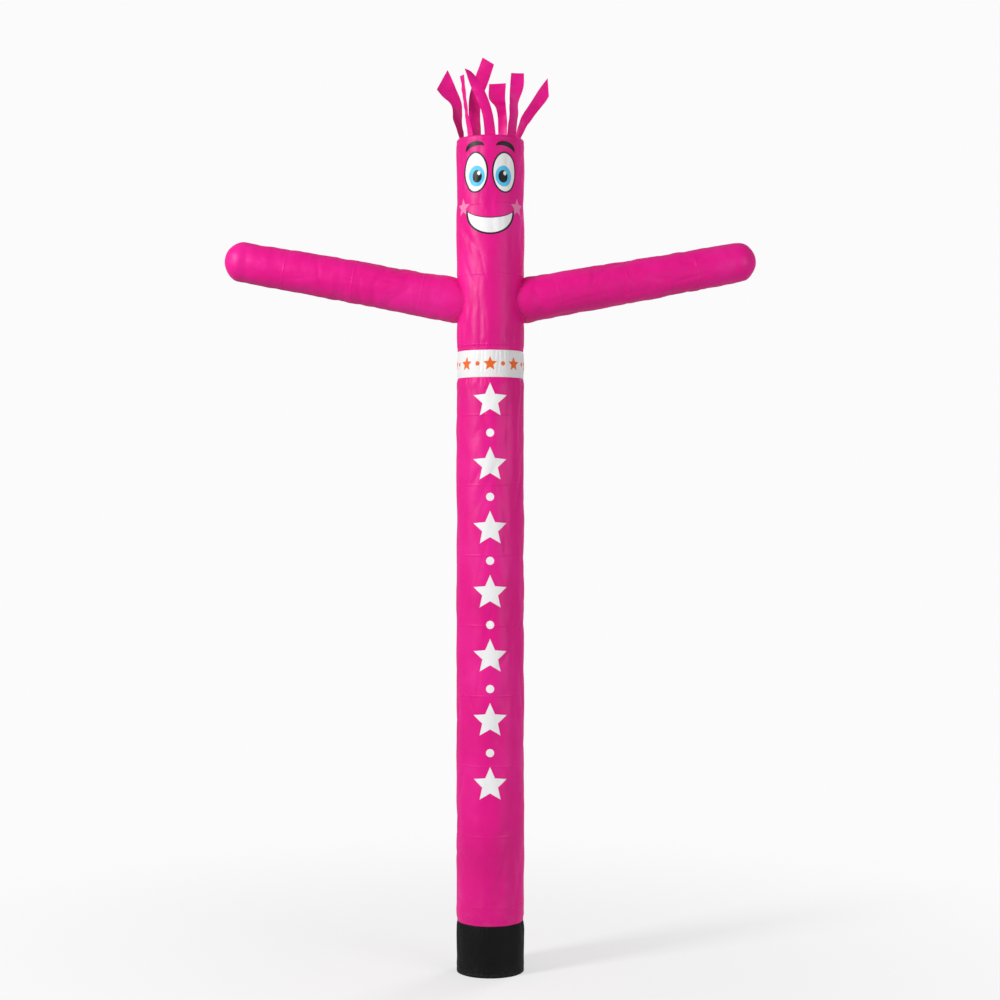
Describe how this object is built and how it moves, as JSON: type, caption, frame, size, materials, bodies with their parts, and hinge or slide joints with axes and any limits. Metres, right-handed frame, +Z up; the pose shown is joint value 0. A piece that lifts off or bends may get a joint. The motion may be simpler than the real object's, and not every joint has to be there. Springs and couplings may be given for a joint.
{
  "type": "inflatable air dancer",
  "caption": "Tall sewn nylon tube figure with open base mouth and open top, tapered hollow arms and upright hair strips.",
  "frame": {"origin": "centre of the open base mouth, on the ground", "axes": "+Z up along the tube, +X towards the figure's right-hand side of the picture, face towards -Y"},
  "size_m": [3.6018, 0.4572, 6.2248],
  "materials": {
    "pink_nylon": "bright pink coated nylon, soft sheen",
    "white_nylon": "white coated nylon, soft sheen",
    "black_nylon": "heavier black nylon, matt"
  },
  "bodies": {
    "root": {"base_sleeve": "black_nylon", "lower_body": "pink_nylon", "white_band": "white_nylon", "upper_body": "pink_nylon", "arm_left": "pink_nylon", "arm_right": "pink_nylon", "hair_fringe": "pink_nylon"}
  },
  "joints": []
}
